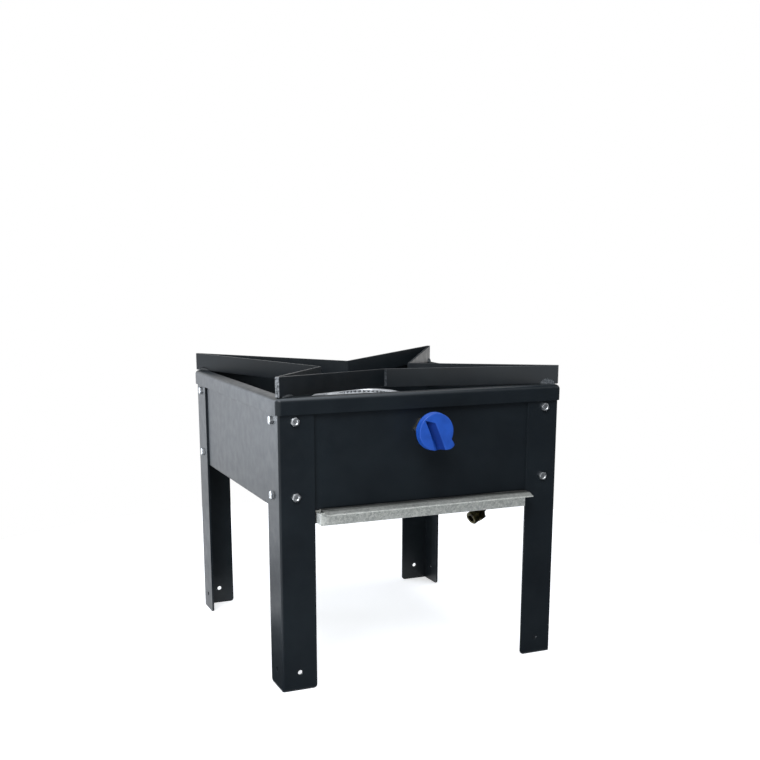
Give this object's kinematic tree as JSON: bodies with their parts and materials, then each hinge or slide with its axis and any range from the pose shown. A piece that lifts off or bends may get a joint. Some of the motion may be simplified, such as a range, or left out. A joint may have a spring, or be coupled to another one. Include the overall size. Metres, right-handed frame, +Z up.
{
  "type": "gas stove",
  "caption": "Free-standing single burner gas stove: a bolted sheet body on angle legs, with a star of welded flat bar, a cast burner, a side-fed valve and a sliding drip tray.",
  "frame": {"origin": "on the floor, at the middle of the footprint of the four legs", "axes": "+X along the front to the right as the stove is faced, +Y from the front to the back, +Z up"},
  "size_m": [0.408, 0.4405, 0.4065],
  "materials": {
    "black": "semi-gloss black powder coat",
    "zinc": "bright zinc-plated steel",
    "galvanised": "galvanised sheet with a faint spangle",
    "brass": "turned and drawn brass",
    "aluminium": "cast aluminium, satin",
    "blue": "blue moulded plastic, semi-gloss"
  },
  "bodies": {
    "stove": {"leg_front_left": "black", "leg_front_right": "black", "leg_rear_left": "black", "leg_rear_right": "black", "front_panel": "black", "rear_panel": "black", "left_panel": "black", "right_panel": "black", "top_rim": "black", "star_bar_front_left": "black", "star_bar_front_right": "black", "star_bar_rear_left": "black", "star_bar_rear_right": "black", "star_bar_left_front": "black", "star_bar_left_rear": "black", "star_bar_right_front": "black", "star_bar_right_rear": "black", "star_welds": "black", "rim_welds": "black", "corner_bolts": "zinc", "corner_nuts": "zinc", "runner_left": "galvanised", "runner_right": "galvanised", "runner_rivets": "zinc", "valve_body": "brass", "valve_locknut": "brass", "injector": "brass", "union_nut": "brass", "supply_pipe": "brass", "inlet_fitting": "brass", "pipe_clip": "zinc", "burner_bowl": "aluminium", "burner_head": "aluminium", "head_screw": "zinc", "shutter_clip": "zinc", "cross_bar": "black", "burner_screws": "zinc"},
    "tray": {"drip_tray": "galvanised"},
    "tap": {"knob": "blue", "valve_stem": "brass"},
    "shutter": {"air_shutter": "zinc"}
  },
  "joints": [
    {"name": "tray_slide", "type": "slide", "parent": "stove", "child": "tray", "axis": [0, -1, 0], "range_m": [0, 0.3]},
    {"name": "tap_turn", "type": "hinge", "parent": "stove", "child": "tap", "pos_m": [0, -0.21, 0.332], "axis": [0, -1, 0], "range_deg": [0, 90]},
    {"name": "shutter_turn", "type": "hinge", "parent": "stove", "child": "shutter", "pos_m": [0, -0.13, 0.332], "axis": [0, -1, 0], "range_deg": [0, 45]}
  ]
}
